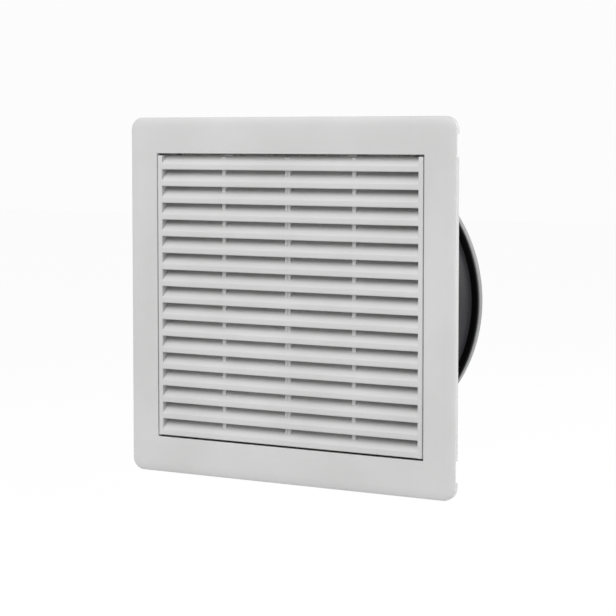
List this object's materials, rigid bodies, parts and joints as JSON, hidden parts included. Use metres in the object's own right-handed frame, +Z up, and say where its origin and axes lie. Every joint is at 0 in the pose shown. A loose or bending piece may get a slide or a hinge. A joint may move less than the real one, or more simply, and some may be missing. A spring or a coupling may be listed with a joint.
{
  "type": "cabinet filter fan",
  "caption": "Square louvred filter fan for a cabinet panel cut-out, with a hinged grille over a filter mat, a black axial fan behind and sprung panel clips.",
  "frame": {"origin": "centre of the panel cut-out, on the panel's outer face, where the gasket seats", "axes": "+Y into the cabinet along the fan's axis, +Z up, +X to the right seen from the front"},
  "size_m": [0.204, 0.081, 0.204],
  "materials": {
    "grey_plastic": "fine moulded texture",
    "black_casting": "black coated casting",
    "black_steel": "black coated steel",
    "black_plastic": "moulded",
    "foam": "closed-cell foam",
    "fleece": "progressive filter fleece",
    "zinc_steel": "zinc plated",
    "spring_steel": "stainless strip",
    "bearing_steel": "ground",
    "lamination": "stacked sheet",
    "copper_wire": "enamelled wire",
    "insulator": "moulded",
    "brass": "plain"
  },
  "bodies": {
    "housing": {"front_frame": "grey_plastic", "fan_plate": "grey_plastic", "panel_gasket": "foam", "filter_mat": "fleece", "plate_screws": "zinc_steel", "fan_screws": "zinc_steel", "fan_nuts": "zinc_steel", "guard_screws": "zinc_steel", "motor_screws": "zinc_steel", "fan_housing": "black_casting", "bearing_tube": "bearing_steel", "front_bearing": "bearing_steel", "rear_bearing": "bearing_steel", "preload_spring": "spring_steel", "stator_core": "lamination", "stator_insulators": "insulator", "stator_windings": "copper_wire", "finger_guard": "black_steel", "terminal_block": "black_plastic", "terminal_blades": "brass", "earth_screw": "brass"},
    "grille": {"louvre_grille": "grey_plastic"},
    "rotor": {"rotor_cup": "black_steel", "rotor_cage": "lamination", "shaft": "bearing_steel", "retaining_ring": "spring_steel", "hub_ring": "black_steel", "impeller_blades": "black_steel"},
    "clip_upper_left": {"clip_upper_left": "spring_steel"},
    "clip_lower_left": {"clip_lower_left": "spring_steel"},
    "clip_upper_right": {"clip_upper_right": "spring_steel"},
    "clip_lower_right": {"clip_lower_right": "spring_steel"}
  },
  "joints": [
    {"name": "grille_hinge", "type": "hinge", "parent": "housing", "child": "grille", "pos_m": [0, -0.0029, -0.0774], "axis": [1, 0, 0], "range_deg": [0, 90]},
    {"name": "rotor_spin", "type": "hinge", "parent": "housing", "child": "rotor", "pos_m": [0, 0.04, -0.002], "axis": [0, 1, 0], "continuous": true},
    {"name": "clip_upper_left_flex", "type": "hinge", "parent": "housing", "child": "clip_upper_left", "pos_m": [-0.0863, 0.0096, 0.045], "axis": [0, 0, -1], "range_deg": [-17.5, 0], "stiffness_Nm_per_rad": 0.8},
    {"name": "clip_lower_left_flex", "type": "hinge", "parent": "housing", "child": "clip_lower_left", "pos_m": [-0.0863, 0.0096, -0.045], "axis": [0, 0, -1], "range_deg": [-17.5, 0], "stiffness_Nm_per_rad": 0.8},
    {"name": "clip_upper_right_flex", "type": "hinge", "parent": "housing", "child": "clip_upper_right", "pos_m": [0.0863, 0.0096, 0.045], "axis": [0, 0, 1], "range_deg": [-17.5, 0], "stiffness_Nm_per_rad": 0.8},
    {"name": "clip_lower_right_flex", "type": "hinge", "parent": "housing", "child": "clip_lower_right", "pos_m": [0.0863, 0.0096, -0.045], "axis": [0, 0, 1], "range_deg": [-17.5, 0], "stiffness_Nm_per_rad": 0.8}
  ]
}
